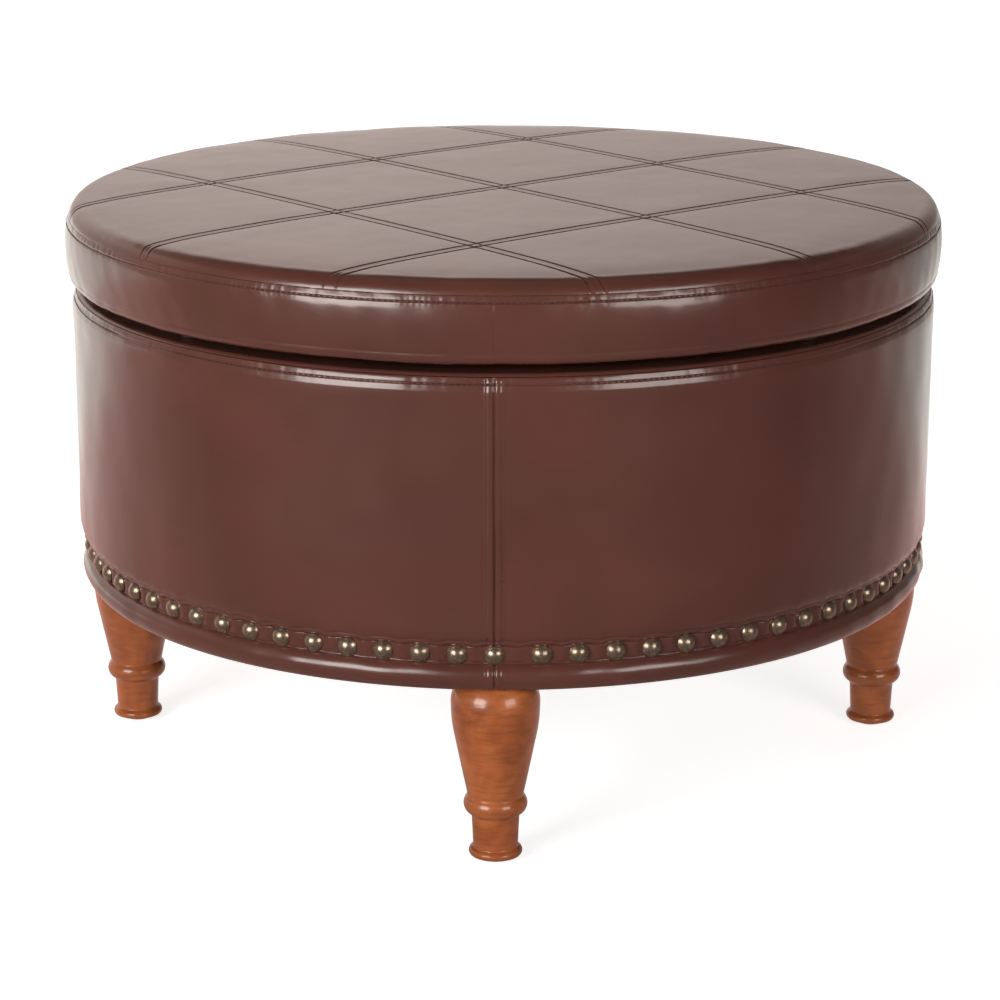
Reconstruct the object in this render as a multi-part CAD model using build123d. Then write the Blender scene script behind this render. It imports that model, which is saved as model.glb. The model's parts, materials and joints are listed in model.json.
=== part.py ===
from build123d import *
from math import asin, atan2, cos, hypot, radians, sin, sqrt, tan
import os

# Round storage ottoman, millimetres. The origin is on the floor under the middle, +Z is up, the front
# seam faces -Y and the lid hinges at the back, +Y.

# Driving sizes
overall_height = 520
lid_radius = 403
lid_board_radius = 385
body_radius = 397.5
leg_height = 163
leg_circle = 354
leather = 1.2
board = 15
lid_opening = 95
nail_count = 77

# Heights of the stack, from the floor up
glide_height = 3
cover_bottom = leg_height + 1
base_bottom = cover_bottom + leather
base_top = base_bottom + 16
floor_top = base_top + 3
frame_top = 432
rim_top = 437.2
lid_bottom = 443.2
boxing_bottom = lid_bottom + 1
board_bottom = boxing_bottom + leather

# Radii of the stack, from the outside in
groove_radius = 389.2
drum_outer = groove_radius - leather
drum_inner = drum_outer - 5
frame_inner = drum_inner - 22
lining_inner = frame_inner - 3.5
flap_inner = lining_inner - leather

# Sewn edges, as radius and height
body_seam = (394.8, 434.8)
lid_seam = (399.5, 503.4)
boxing_shoulder = (402.6, 496.5)
boxing_crease = (400.6, 454)
fold_radius = 366

# Crown of the lid, from its level middle to the rolled edge above the seam, as radius and height
crown_middle = (180, overall_height)
crown_shoulder = (335, overall_height - 4.2)
crown_edge = (388, overall_height - 10.1)

# Quilted lid
top_leather = 1.8
quilt_pitch = 193.5
quilt_turn = -3.8
stitch_offset = 5
stitch_width = 2.4
stitch_depth = 0.9

# Nail row
nail_height = 194.7
nail_radius = 8.25
nail_dome = 5.5
nail_shank = 14
nail_front_gap = 5.8

# Lid hinges
hinge_y = 399
hinge_z = (rim_top + lid_bottom) / 2
hinge_x = 60
hinge_length = 60
hinge_leaf_y = 365
leaf_sheet = 1.5
knuckle_radius = 3
pin_radius = 1.5
pin_clearance = 0.05
knuckle_half = 10
knuckle_gap = 0.2

# Lid stays: a slotted arm pivots on the lid and slides on a stud on the wall. Pivot and stud lie equally
# far from the hinge axis, so the arm turns by exactly half the lid's angle.
stay_reach = 145
stay_x = 200
stay_sheet = 2
stay_gap = 0.4
pivot_z = 434
stud_z = 415
stud_radius = 3
stay_half_width = 8
slot_clearance = 0.3
rivet_radius = 2.5


def outline(start, *steps):
    """Closed face; a step is an end point, or a via point and an end point for an arc."""
    return make_face(path(start, *steps, start))


def path(start, *steps):
    """Joined edges; a step is an end point, or a via point and an end point for an arc."""
    edges = []
    here = start
    for step in steps:
        if isinstance(step[0], tuple):
            edges.append(ThreePointArc(here, step[0], step[1]))
            here = step[1]
        else:
            edges.append(Line(here, step))
            here = step
    return edges


def turned(face):
    """Solid of revolution about Z of a face drawn as radius and height."""
    return revolve(Plane.XZ * face, Axis.Z)


def chord_slope(start, end):
    """Downward slope from one point to another, in radians."""
    return atan2(start[1] - end[1], end[0] - start[0])


def crest(start, end, slope=0):
    """Arc step that leaves its start at a downward slope, in radians, and bends down to its end."""
    fall = chord_slope(start, end)
    rise = hypot(end[0] - start[0], end[1] - start[1]) / 2 * tan((fall - slope) / 2)
    via = ((start[0] + end[0]) / 2 + rise * sin(fall), (start[1] + end[1]) / 2 + rise * cos(fall))
    return via, end


def skin(edges, thickness):
    """Solid of revolution of a sheet that lies to the right of its outer path."""
    sheet = Wire([edge.edge() for edge in edges]).offset_2d(thickness, Kind.INTERSECTION, Side.RIGHT)
    return turned(make_face(sheet))


def ring(inner, outer, bottom, top):
    return turned(outline((inner, bottom), (outer, bottom), (outer, top), (inner, top)))


def disc(radius, bottom, top):
    return Pos(0, 0, bottom) * cylinder(radius, top - bottom)


def cylinder(radius, height):
    """Cylinder standing on the XY plane."""
    return Cylinder(radius, height, align=(Align.CENTER, Align.CENTER, Align.MIN))


def block(x, y, z):
    """Box between two limits on each axis."""
    size = Box(x[1] - x[0], y[1] - y[0], z[1] - z[0], align=(Align.MIN, Align.MIN, Align.MIN))
    return Pos(x[0], y[0], z[0]) * size


def along_x(radius, start, end, y, z):
    """Round bar along X."""
    return Pos(start, y, z) * (Rot(0, 90, 0) * cylinder(radius, end - start))


def around(angle, radius, height):
    """Place on a circle about Z, turned to face outwards."""
    return Rot(0, 0, angle) * Pos(radius, 0, height)


def group(solids):
    return Compound(children=[solid.solid() for solid in solids])


def wood_screw(length):
    """Countersunk screw, head up with its face at z = 0."""
    head_radius = 3.2
    shank_radius = 1.6
    return turned(outline((0, 0), (head_radius, 0), (shank_radius, -leaf_sheet),
                          (shank_radius, shank_radius - length), (0, -length)))


def half(solid, side):
    """The half of a solid on one side of the YZ plane."""
    reach = 2 * lid_radius
    limits = (0, reach) if side > 0 else (-reach, 0)
    return solid & block(limits, (-reach, reach), (0, reach))


def without(solid, tools):
    for tool in tools:
        solid = solid - tool
    return solid


parts = {}

# Base frame
parts["base_board"] = disc(drum_inner, base_bottom, base_top)
ring_top = base_top + 32
parts["bottom_ring"] = ring(frame_inner, drum_inner, base_top, ring_top)
parts["drum_wall"] = ring(drum_inner, drum_outer, base_bottom, frame_top)
top_ring_bottom = frame_top - 18
parts["top_ring"] = ring(frame_inner, drum_inner, top_ring_bottom, frame_top)
post_ring = ring(frame_inner, drum_inner, ring_top, top_ring_bottom)
post_half_width = 20
post_count = 8
post_bar = block((frame_inner - 10, drum_outer), (-post_half_width, post_half_width), (ring_top, frame_top))
posts = []
for number in range(post_count):
    turn = (number + 0.5) * 360 / post_count
    posts.append(post_ring & (Rot(0, 0, turn) * post_bar))
parts["frame_posts"] = group(posts)

# Side upholstery: straight side, nail groove and padded roll along the bottom edge
side_path = path(body_seam, ((396.8, 430.7), (body_radius, 425.5)), (body_radius, 217),
                 ((395.9, 209.3), (391.4, 204.2)), (groove_radius, 202.6), (groove_radius, 187),
                 (391.6, 185.2), ((397.0, 175.0), (390.5, cover_bottom)), (fold_radius, cover_bottom))
side_cover = skin(side_path, leather)
parts["side_cover_left"] = half(side_cover, -1)
parts["side_cover_right"] = half(side_cover, 1)
side_back = path((fold_radius, cover_bottom), (fold_radius, body_seam[1]), body_seam)
body_fill = turned(make_face(side_path + side_back)) - side_cover
parts["side_foam"] = body_fill & ring(drum_outer, lid_radius, nail_height, frame_top)
parts["edge_roll"] = body_fill & ring(drum_outer, lid_radius, base_bottom, nail_height)

# Rim of the storage well
rim_edge = (drum_outer, rim_top)
flap_bottom = 424
rim_round = 3.2
round_via = rim_round * (1 - sqrt(0.5))
rim_path = path((flap_inner, flap_bottom), (flap_inner, rim_top - rim_round),
                ((flap_inner + round_via, rim_top - round_via), (flap_inner + rim_round, rim_top)),
                rim_edge, crest(rim_edge, body_seam))
parts["rim_cover"] = skin(rim_path, leather) - side_cover
parts["rim_pad"] = ring(flap_inner + rim_round, drum_outer, frame_top, rim_top - leather)
parts["lining_wall"] = ring(lining_inner, frame_inner, floor_top, frame_top)
parts["lining_floor"] = disc(frame_inner, base_top, floor_top)
parts["dust_cover"] = disc(384, leg_height, cover_bottom)

# Turned legs with hanger bolts, tee nuts and glides
leg_face = outline((0, glide_height), (20.5, glide_height), ((23.1, 7), (19.6, 11)), (20.7, 41),
                   (22.6, 42.2), ((27.5, 50), (24.2, 58)), (35.8, 115.7), ((37.5, 128), (38, 139)),
                   ((36.2, 153), (29.5, leg_height)), (0, leg_height))
bolt_radius = 4
bolt_bottom = leg_height - 40
bolt_top = base_top - 2
bolt = disc(bolt_radius, bolt_bottom, bolt_top)
nut_flange = 1.5
tee_nut = disc(5, base_bottom, base_top) + disc(11, base_top - nut_flange, base_top)
glide_shank = disc(1.5, 0, glide_height + 12)
glide = turned(outline((0, 0), (12.5, 0), (14, 1.5), (14, glide_height), (0, glide_height))) + glide_shank
leg = turned(leg_face) - bolt - glide_shank
leg_turns = {"front": -90, "right": 0, "back": 90, "left": 180}
spots = [around(turn, leg_circle, 0) for turn in leg_turns.values()]
for name, spot in zip(leg_turns, spots):
    parts["leg_" + name] = spot * leg
parts["leg_bolts"] = group([spot * bolt for spot in spots])
parts["leg_tee_nuts"] = group([spot * (tee_nut - bolt) for spot in spots])
parts["leg_glides"] = group([spot * glide for spot in spots])
bolt_hole = disc(bolt_radius + 1, 0, base_top)
parts["base_board"] = without(parts["base_board"], [spot * tee_nut for spot in spots])
parts["dust_cover"] = without(parts["dust_cover"], [spot * bolt_hole for spot in spots])

# Decorative nails, one on the front seam and a wider gap beside it
nail_sphere = (nail_radius ** 2 + nail_dome ** 2) / (2 * nail_dome)
nail = (Pos(0, 0, nail_dome - nail_sphere) * Sphere(nail_sphere)) & cylinder(2 * nail_radius, nail_dome)
nail = nail + Pos(0, 0, -nail_shank) * cylinder(1, nail_shank)
nail = Rot(0, 90, 0) * nail
nail_pitch = (360 - nail_front_gap) / (nail_count - 1)
nails = []
for number in range(nail_count):
    turn = -90 - number * nail_pitch
    nails.append(around(turn, groove_radius, nail_height) * nail)
parts["nail_heads"] = group(nails)

# Lid: crowned top, bulging boxing rolled under, foam over a board
shoulder_slope = 2 * chord_slope(crown_middle, crown_shoulder)
edge_slope = 2 * chord_slope(crown_shoulder, crown_edge) - shoulder_slope
crown = path((0, overall_height), crown_middle, crest(crown_middle, crown_shoulder),
             crest(crown_shoulder, crown_edge, shoulder_slope), crest(crown_edge, lid_seam, edge_slope))
boxing = path(lid_seam, ((401.4, 500.4), boxing_shoulder), ((lid_radius, 478), boxing_crease),
              ((397.7, 446.9), (390.5, boxing_bottom)), (fold_radius, boxing_bottom))
top_cover = skin(crown, top_leather)
lid_boxing = skin(boxing, leather) - top_cover
lid_board = disc(lid_board_radius, board_bottom, board_bottom + board)
lid_shape = turned(make_face(crown + boxing + path((fold_radius, boxing_bottom), (0, boxing_bottom),
                                                   (0, overall_height))))
lid_foam = lid_shape - top_cover - lid_boxing - lid_board
parts["lid_foam"] = lid_foam & disc(lid_radius, board_bottom, overall_height)
lid_lining = disc(380, lid_bottom, boxing_bottom)

# Quilting channels, two stitch rows beside each seam of the square grid
layer_top = overall_height + stitch_depth
stitch_layer = Pos(0, 0, stitch_depth) * lid_shape - Pos(0, 0, -stitch_depth) * lid_shape
stitch_layer = stitch_layer & disc(lid_radius, lid_seam[1], layer_top)
channels = []
for direction in (45 + quilt_turn, quilt_turn - 45):
    for row in (-1, 0, 1):
        for side in (-1, 1):
            across = row * quilt_pitch + side * stitch_offset
            width = (across - stitch_width / 2, across + stitch_width / 2)
            channel = block((-2 * lid_radius, 2 * lid_radius), width, (lid_bottom, 2 * layer_top))
            channels.append(Rot(0, 0, direction) * channel)
parts["lid_top_cover"] = top_cover - (stitch_layer & (channels[0] + channels[1:]))

# Lid bumpers, resting height just clear of the rim
bumper_clearance = 0.3
bumper = disc(7, rim_top + bumper_clearance, lid_bottom)
parts["lid_bumpers"] = group([around(turn, 372, 0) * bumper for turn in (-135, -45, 45, 135)])

# Butt hinges in the gap between lid and rim
base_screw = wood_screw(18)
lid_screw = Rot(180, 0, 0) * wood_screw(board)
hinge_span = hinge_length / 2
knuckle_back = hinge_y - knuckle_radius - 0.5
leaf_plate = block((-hinge_span, hinge_span), (hinge_leaf_y, hinge_y), (rim_top, rim_top + leaf_sheet))
lid_plate = Pos(0, 0, lid_bottom - leaf_sheet - rim_top) * leaf_plate
outer_knuckles = [(-hinge_span, -knuckle_half - knuckle_gap), (knuckle_half + knuckle_gap, hinge_span)]
middle_knuckle = (-knuckle_half + knuckle_gap, knuckle_half - knuckle_gap)
notch_y = (knuckle_back, hinge_y)
notch_z = (0, overall_height)
middle_notch = block((outer_knuckles[0][1], outer_knuckles[1][0]), notch_y, notch_z)
side_notches = [block((-hinge_span, middle_knuckle[0]), notch_y, notch_z),
                block((middle_knuckle[1], hinge_span), notch_y, notch_z)]
base_leaf = leaf_plate - middle_notch
for start, end in outer_knuckles:
    base_leaf = base_leaf + along_x(knuckle_radius, start, end, hinge_y, hinge_z)
base_leaf = base_leaf - along_x(pin_radius, -hinge_span, hinge_span, hinge_y, hinge_z)
lid_leaf = without(lid_plate, side_notches)
lid_leaf = lid_leaf + along_x(knuckle_radius, middle_knuckle[0], middle_knuckle[1], hinge_y, hinge_z)
lid_leaf = lid_leaf - along_x(pin_radius + pin_clearance, -hinge_span, hinge_span, hinge_y, hinge_z)
pin = along_x(pin_radius, -hinge_span, hinge_span, hinge_y, hinge_z)
screw_spots = [(-20, 371), (0, 373), (20, 371)]
base_screws = []
lid_screws = []
for name, x in (("left", -hinge_x), ("right", hinge_x)):
    here_base = [Pos(x + dx, y, rim_top + leaf_sheet) * base_screw for dx, y in screw_spots]
    here_lid = [Pos(x + dx, y, lid_bottom - leaf_sheet) * lid_screw for dx, y in screw_spots]
    parts["hinge_base_leaf_" + name] = without(Pos(x, 0, 0) * base_leaf, here_base)
    parts["hinge_lid_leaf_" + name] = without(Pos(x, 0, 0) * lid_leaf, here_lid)
    parts["hinge_pin_" + name] = Pos(x, 0, 0) * pin
    base_screws = base_screws + here_base
    lid_screws = lid_screws + here_lid
parts["hinge_base_screws"] = group(base_screws)
parts["hinge_lid_screws"] = group(lid_screws)
for name in ("rim_cover", "rim_pad", "top_ring"):
    parts[name] = without(parts[name], base_screws)

# Lid stays
pivot_y = hinge_y - sqrt(stay_reach ** 2 - (hinge_z - pivot_z) ** 2)
stud_y = hinge_y - sqrt(stay_reach ** 2 - (hinge_z - stud_z) ** 2)
closed_angle = asin((hinge_z - stud_z) / stay_reach) - asin((hinge_z - pivot_z) / stay_reach)
slot_start = 2 * stay_reach * sin(closed_angle / 2)
slot_end = 2 * stay_reach * sin((closed_angle + radians(lid_opening)) / 2)
arm_length = slot_end + 2 * stud_radius
arm_face_x = stay_x + stay_sheet / 2
tab_x = (arm_face_x + stay_gap, arm_face_x + stay_gap + stay_sheet)
head_x = stay_x - stay_sheet / 2 - stay_gap


def capsule(start, end, radius):
    """Flat strip with round ends, between two points on the X axis."""
    ends = Pos(start, 0) * Circle(radius) + Pos(end, 0) * Circle(radius)
    return ends + Pos((start + end) / 2, 0) * Rectangle(end - start, 2 * radius)


arm_plane = Plane(origin=(stay_x - stay_sheet / 2, pivot_y, pivot_z),
                  x_dir=(0, stud_y - pivot_y, stud_z - pivot_z), z_dir=(1, 0, 0))
slot_face = capsule(slot_start, slot_end, stud_radius + slot_clearance)
arm_face = capsule(0, arm_length, stay_half_width) - slot_face - Circle(rivet_radius + pin_clearance)
stay_arm = extrude(arm_plane * arm_face, stay_sheet)
stay_rivet = along_x(rivet_radius, head_x - 1.2, tab_x[1] + 1.2, pivot_y, pivot_z)
stay_rivet = stay_rivet + along_x(4.2, head_x - 1.2, head_x, pivot_y, pivot_z)
stay_rivet = stay_rivet + along_x(4.2, tab_x[1], tab_x[1] + 1.2, pivot_y, pivot_z)
flange_x = tab_x[0] + 30
flange_half = 14
tab_y = (pivot_y - stay_half_width, pivot_y + stay_half_width)
lid_bracket = block((tab_x[0], flange_x), (pivot_y - flange_half, pivot_y + flange_half),
                    (lid_bottom - leaf_sheet, lid_bottom))
lid_bracket = lid_bracket + block(tab_x, tab_y, (pivot_z, lid_bottom))
lid_bracket = lid_bracket + along_x(stay_half_width, tab_x[0], tab_x[1], pivot_y, pivot_z)
lid_bracket = lid_bracket - along_x(rivet_radius, tab_x[0], tab_x[1], pivot_y, pivot_z)
bracket_screws = []
for y in (pivot_y - 7, pivot_y + 7):
    bracket_screws.append(Pos(tab_x[0] + 17, y, lid_bottom - leaf_sheet) * lid_screw)
lid_bracket = without(lid_bracket, bracket_screws)
wall_block = block((tab_x[1], lid_radius), (stud_y - 18, hinge_y), (stud_z - 23, stud_z + 7))
wall_block = wall_block & disc(lining_inner, 0, frame_top)
wall_plate = block(tab_x, (stud_y - 8, stud_y + 27), (stud_z - 7, stud_z + 6))
wall_plate = wall_plate + along_x(stud_radius, head_x - 2, tab_x[0], stud_y, stud_z)
wall_plate = wall_plate + along_x(5.5, head_x - 2, head_x, stud_y, stud_z)
plate_screw = Rot(0, -90, 0) * wood_screw(13)
plate_screws = [Pos(tab_x[0], stud_y + dy, stud_z) * plate_screw for dy in (12, 21)]
wall_plate = without(wall_plate, plate_screws)
wall_block = without(wall_block, plate_screws)


def both_sides(solids):
    """The same solids on the right and mirrored on the left."""
    return solids + [mirror(solid, about=Plane.YZ) for solid in solids]


stay_pieces = {"stay_arm": stay_arm, "stay_rivet": stay_rivet, "stay_lid_bracket": lid_bracket,
               "stay_wall_plate": wall_plate, "stay_block": wall_block}
for name, solid in stay_pieces.items():
    parts[name + "_right"] = solid
    parts[name + "_left"] = mirror(solid, about=Plane.YZ)
bracket_screws = both_sides(bracket_screws)
parts["stay_lid_screws"] = group(bracket_screws)
parts["stay_wall_screws"] = group(both_sides(plate_screws))

# Screw holes through the lid
lid_screws = lid_screws + bracket_screws
parts["lid_lining"] = without(lid_lining, lid_screws)
parts["lid_board"] = without(lid_board, lid_screws)
parts["lid_boxing"] = without(lid_boxing, lid_screws)

os.makedirs("parts", exist_ok=True)
for name, solid in parts.items():
    export_step(solid, "parts/" + name + ".step")
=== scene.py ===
import json
import math
import bpy
import bmesh
import numpy as np
from mathutils import Matrix, Vector


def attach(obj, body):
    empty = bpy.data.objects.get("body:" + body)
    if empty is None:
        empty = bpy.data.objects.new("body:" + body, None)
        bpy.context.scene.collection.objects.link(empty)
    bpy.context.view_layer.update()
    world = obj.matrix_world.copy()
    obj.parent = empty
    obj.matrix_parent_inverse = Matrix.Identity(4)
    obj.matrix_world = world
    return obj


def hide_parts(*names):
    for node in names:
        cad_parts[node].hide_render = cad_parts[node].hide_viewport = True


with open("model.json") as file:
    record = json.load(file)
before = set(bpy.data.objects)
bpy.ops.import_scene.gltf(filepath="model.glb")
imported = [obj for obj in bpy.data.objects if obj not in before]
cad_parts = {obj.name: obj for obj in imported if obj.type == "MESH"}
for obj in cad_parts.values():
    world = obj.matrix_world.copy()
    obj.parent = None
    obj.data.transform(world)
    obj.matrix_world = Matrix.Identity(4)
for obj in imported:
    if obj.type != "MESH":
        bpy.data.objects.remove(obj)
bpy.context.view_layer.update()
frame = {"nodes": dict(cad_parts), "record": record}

# Round storage ottoman: covers, thread, nails, legs and linings over the solids, in a plain studio
MM = 0.001
FRONT = -math.pi / 2
UP = np.array((0, 0, 1))

# Sizes in millimetres and angles in degrees; a pair is a radius and a height
# Lid top: its outline from the level middle to the seam, where the rolled edge starts, and the quilting
TOP_Z = 520.0
LID_SEAM = (399.5, 503.4)
CROWN = ((180.0, TOP_Z), (335.0, TOP_Z - 2.1), (384.7, TOP_Z - 4.9),
         (389.6, TOP_Z - 5.8), (397.6, TOP_Z - 12.0), (399.6, TOP_Z - 17.4))
EDGE_R = 381.0
EDGE_MIDDLE_R = 392.0
EDGE_RINGS = 40
EDGE_SIDES = 360
GRID_HALF = 414.0
QUILT_PITCH = 193.5
QUILT_TURN = -3.8
QUILT_ROWS = (-1, 0, 1)
QUILT_STITCH_R = 396.0
QUILT_STITCH_LIFT = 0.1
ROW_OFFSET = 5.0

# Swelling of the squares, simulated on a grid of its own
SWELL_STEP = QUILT_PITCH / 23
SWELL_HALF = 50
SWELL_EDGE = 388.0
SWELL_CAP = 0.8
SWELL_PRESSURE = 4.0
SWELL_FRAMES = 20

# Lid boxing: the topstitched row is measured along the outline from the seam's inside
BOX_R = 403.0
BOX_ROW = 8.0
BOX_ROW_R = 401.0
BOX_ROW_SINK = 0.35

# Side cover, nails and rim
BODY_SEAM = (394.8, 434.8)
WALL_R = 397.5
WALL_MIDDLE_R = 397.0
SIDE_ROW = (396.5, 428.4)
SEAM_ROW = 6.4
SEAM_ROW_LOW = 206
SEAM_ROW_HIGH = 424
SEAM_ROW_SINK = 0.3
NAIL_COUNT = 77
NAIL_Z = 194.7
NAIL_SIDES = 28
NAIL_FRONT_GAP = 5.8
GROOVE_R = 389.2
RIM_MIDDLE_R = 372.0
RIM_Z = 437.0

# Legs and linings
LEG_RING_R = 354.0
LEG_SIDES = 72
WELL_R = 357.3
WELL_FLOOR = (357.0, 184.9)
LID_LINING = (380.0, 443.35)
DUST_COVER = (384.0, 163.4)

# Thread
STITCH = 5.0
STITCH_WIDTH = 0.85
STITCH_HEIGHT = 0.45
STITCH_GAP = 0.36
STITCH_SIDES = 6

# Camera: lens, place in metres, and how far it looks down and to its left
CAMERA_LENS = 115.28
CAMERA_PLACE = (0.0554, -2.9246, 1.0475)
CAMERA_DOWN = 15.815
CAMERA_LEFT = 1.149

nail_pitch = (360 - NAIL_FRONT_GAP) / (NAIL_COUNT - 1)
nail_angles = np.radians([-90 - k * nail_pitch for k in range(NAIL_COUNT)])


# Numbers and noise

def smooth(a, b, x):
    """0 before a, 1 past b and a smooth step between them; a may be the larger."""
    t = np.clip((x - a) / (b - a), 0, 1)
    return t * t * (3 - 2 * t)


def bump(x, centre, width):
    """1 at the centre, falling off over about the width."""
    return np.exp(-((x - centre) / width) ** 2)


def ring_noise(angle, seed, low, high):
    """Smooth noise round the circle, made of whole waves between two counts, about -1 to 1."""
    rng = np.random.default_rng(seed)
    total = np.zeros_like(angle)
    counts = np.unique(np.linspace(low, high, 14).astype(int))
    for count in counts:
        total += rng.normal() * np.cos(count * angle + rng.uniform(0, 2 * np.pi))
    return total / math.sqrt(len(counts))


def field(x, y, seed, size, waves=16):
    """Smooth noise over a plane or over a wall, with features of about that size, about -1 to 1."""
    rng = np.random.default_rng(seed)
    total = np.zeros_like(x)
    for _ in range(waves):
        turn = rng.uniform(0, 2 * np.pi)
        wave = 2 * np.pi / (size * rng.uniform(0.7, 1.6))
        total += np.cos(wave * (x * math.cos(turn) + y * math.sin(turn)) + rng.uniform(0, 2 * np.pi))
    return total * math.sqrt(2.0 / waves) * 0.7


# Meshes

def mesh_object(name, verts, faces, material):
    mesh = bpy.data.meshes.new(name)
    mesh.from_pydata(verts, [], faces)
    mesh.update()
    obj = bpy.data.objects.new(name, mesh)
    bpy.context.scene.collection.objects.link(obj)
    mesh.materials.append(material)
    mesh.polygons.foreach_set("use_smooth", [True] * len(mesh.polygons))
    return obj


def lathe(name, angles, radius, height, material, flip=False):
    """Closed skin of revolution from radius and height tables of one row per angle, in millimetres."""
    rows, cols = radius.shape
    x = radius * np.cos(angles)[:, None]
    y = radius * np.sin(angles)[:, None]
    verts = np.stack([x, y, height], axis=-1).reshape(-1, 3) * MM
    i = np.arange(rows)[:, None]
    j = np.arange(cols - 1)[None, :]
    a = i * cols + j
    b = ((i + 1) % rows) * cols + j
    corners = [a, b, b + 1, a + 1] if flip else [a, a + 1, b + 1, b]
    quads = np.stack(corners, axis=-1).reshape(-1, 4)
    return mesh_object(name, verts.tolist(), quads.tolist(), material)


def arc_points(start, via, end, count):
    """Points on the circle through three points, without the first."""
    ax, ay = start
    bx, by = via
    cx, cy = end
    d = 2 * (ax * (by - cy) + bx * (cy - ay) + cx * (ay - by))
    aa = ax * ax + ay * ay
    bb = bx * bx + by * by
    cc = cx * cx + cy * cy
    ux = (aa * (by - cy) + bb * (cy - ay) + cc * (ay - by)) / d
    uy = (aa * (cx - bx) + bb * (ax - cx) + cc * (bx - ax)) / d
    r = math.hypot(ax - ux, ay - uy)
    a0 = math.atan2(ay - uy, ax - ux)
    a1 = math.atan2(by - uy, bx - ux)
    a2 = math.atan2(cy - uy, cx - ux)
    turn = (a2 - a0) % (2 * math.pi)
    if (a1 - a0) % (2 * math.pi) > turn:
        turn -= 2 * math.pi
    return [(ux + r * math.cos(a0 + turn * k / count), uy + r * math.sin(a0 + turn * k / count))
            for k in range(1, count + 1)]


def distances(points):
    """Distance of each point of a polyline from its start, along the line."""
    p = np.array(points, float)
    return np.concatenate([[0], np.cumsum(np.hypot(*np.diff(p, axis=0).T))])


def path_length(points):
    return float(distances(points)[-1])


def points_along(points, steps):
    """Radii and heights along an outline at given distances."""
    p = np.array(points, float)
    length = distances(points)
    return np.interp(steps, length, p[:, 0]), np.interp(steps, length, p[:, 1])


def resample(points, steps):
    """Radii and heights along an outline at given distances, with the normals on its left, the outside."""
    r, z = points_along(points, steps)
    dr = np.gradient(r, steps)
    dz = np.gradient(z, steps)
    n = np.hypot(dr, dz)
    return r, z, -dz / n, dr / n


def graded(limits, base, spots):
    """Positions between two limits, about base apart and finer round each (place, reach, step)."""
    marks = [limits[0]]
    while marks[-1] < limits[1]:
        step = base
        for place, reach, fine in spots:
            away = abs(marks[-1] - place)
            if away < reach:
                step = min(step, fine)
            else:
                step = min(step, fine + (away - reach) * 0.4 + 0.05)
        marks.append(marks[-1] + step)
    marks[-1] = limits[1]
    if marks[-1] - marks[-2] < 0.2 * base and len(marks) > 2:
        del marks[-2]
    return np.array(marks)


def stitch_ring(count, radius, z):
    """Places of stitches in a level row round a wall."""
    runs = []
    for k in range(count):
        a = 2 * math.pi * (k + 0.5) / count
        out = (math.cos(a), math.sin(a), 0)
        runs.append(((radius * out[0], radius * out[1], z), (-out[1], out[0], 0), out))
    return runs


def stitches(name, runs, material):
    """Thread stitches, one at each (point, direction of the row, normal of the surface)."""
    # Place along the stitch, thickness and lift of each ring of a stitch, as shares of its size
    stations = ((-0.5, 0.35, -0.35), (-0.36, 0.85, 0.15), (0.0, 1.0, 0.5), (0.36, 0.85, 0.15),
                (0.5, 0.35, -0.35))
    sides = STITCH_SIDES
    length = STITCH * (1 - STITCH_GAP)
    verts = []
    faces = []
    for point, along, normal in runs:
        point = np.array(point, float)
        along = np.array(along, float)
        normal = np.array(normal, float)
        across = np.cross(normal, along)
        base = len(verts)
        for place, size, lift in stations:
            centre = point + along * place * length + normal * STITCH_HEIGHT * lift
            for k in range(sides):
                turn = 2 * math.pi * k / sides
                verts.append((centre + across * math.cos(turn) * STITCH_WIDTH * size * 0.5
                              + normal * math.sin(turn) * STITCH_HEIGHT * size) * MM)
        for m in range(len(stations) - 1):
            for k in range(sides):
                a = base + m * sides + k
                b = base + m * sides + (k + 1) % sides
                faces.append((a, b, b + sides, a + sides))
        faces.append(tuple(base + k for k in reversed(range(sides))))
        faces.append(tuple(base + (len(stations) - 1) * sides + k for k in range(sides)))
    return mesh_object(name, [tuple(v) for v in verts], faces, material)


# Materials

def tree_tools(tree):
    """Functions that add a node with its values set, and that link two sockets."""
    def add(kind, **values):
        node = tree.nodes.new(kind)
        for key, value in values.items():
            if hasattr(node, key):
                setattr(node, key, value)
            else:
                node.inputs[key.replace("_", " ")].default_value = value
        return node

    return add, tree.links.new


def new_material(name):
    """New material with its shader, the functions that build its nodes and the place on the object."""
    mat = bpy.data.materials.new(name)
    mat.use_nodes = True
    add, link = tree_tools(mat.node_tree)
    place = add("ShaderNodeTexCoord").outputs["Object"]
    return mat, mat.node_tree.nodes["Principled BSDF"], add, link, place


def noise(add, link, place, scale, detail=4.0, rough=0.55, stretch=None, distort=0.0):
    if stretch:
        mapping = add("ShaderNodeMapping")
        mapping.inputs["Scale"].default_value = stretch
        link(place, mapping.inputs["Vector"])
        place = mapping.outputs["Vector"]
    node = add("ShaderNodeTexNoise", Scale=scale, Detail=detail, Roughness=rough, Distortion=distort)
    link(place, node.inputs["Vector"])
    return node.outputs["Fac"]


def ramp(add, link, fac, stops):
    node = add("ShaderNodeValToRGB")
    elements = node.color_ramp.elements
    while len(elements) < len(stops):
        elements.new(0.5)
    for element, (place, colour) in zip(elements, stops):
        element.position = place
        element.color = (*colour, 1)
    link(fac, node.inputs["Fac"])
    return node.outputs["Color"]


def ranged(add, link, value, low, high, stops):
    """Ramp over a range of a value, with the stops given in that range."""
    spread = add("ShaderNodeMapRange", From_Min=low, From_Max=high)
    link(value, spread.inputs["Value"])
    return ramp(add, link, spread.outputs[0], [((at - low) / (high - low), colour) for at, colour in stops])


def grey(value):
    return (value, value, value)


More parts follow.
